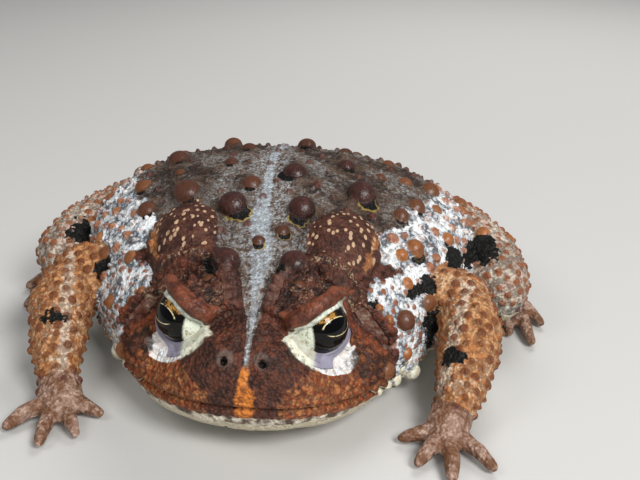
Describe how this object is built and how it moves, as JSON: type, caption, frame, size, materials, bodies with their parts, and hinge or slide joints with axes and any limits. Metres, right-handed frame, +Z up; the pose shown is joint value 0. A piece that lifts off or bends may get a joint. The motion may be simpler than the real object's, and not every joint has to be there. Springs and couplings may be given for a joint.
{
  "type": "american toad",
  "caption": "Life-size still model of a warty toad hunkered down on the ground, with raised brows, parotid glands, folded limbs and spread hands and feet.",
  "frame": {"origin": "on the floor, below the middle of the outline seen from above", "axes": "+Z up; the toad faces -Y and its own left side is +X"},
  "size_m": [0.1078, 0.0922, 0.0319],
  "materials": {
    "back_skin": "dry warty skin, matt",
    "throat_skin": "granular pale skin, matt",
    "gland_skin": "smooth reddish skin, slightly moist",
    "eye": "wet and glossy"
  },
  "bodies": {
    "root": {"head": "back_skin", "torso": "back_skin", "lower_jaw": "throat_skin", "eye_left": "eye", "eye_right": "eye", "parotoid_gland_left": "gland_skin", "parotoid_gland_right": "gland_skin", "upper_arm_left": "back_skin", "forearm_left": "back_skin", "hand_left": "back_skin", "thigh_left": "back_skin", "shank_left": "back_skin", "foot_left": "back_skin", "upper_arm_right": "back_skin", "forearm_right": "back_skin", "hand_right": "back_skin", "thigh_right": "back_skin", "shank_right": "back_skin", "foot_right": "back_skin"}
  },
  "joints": []
}
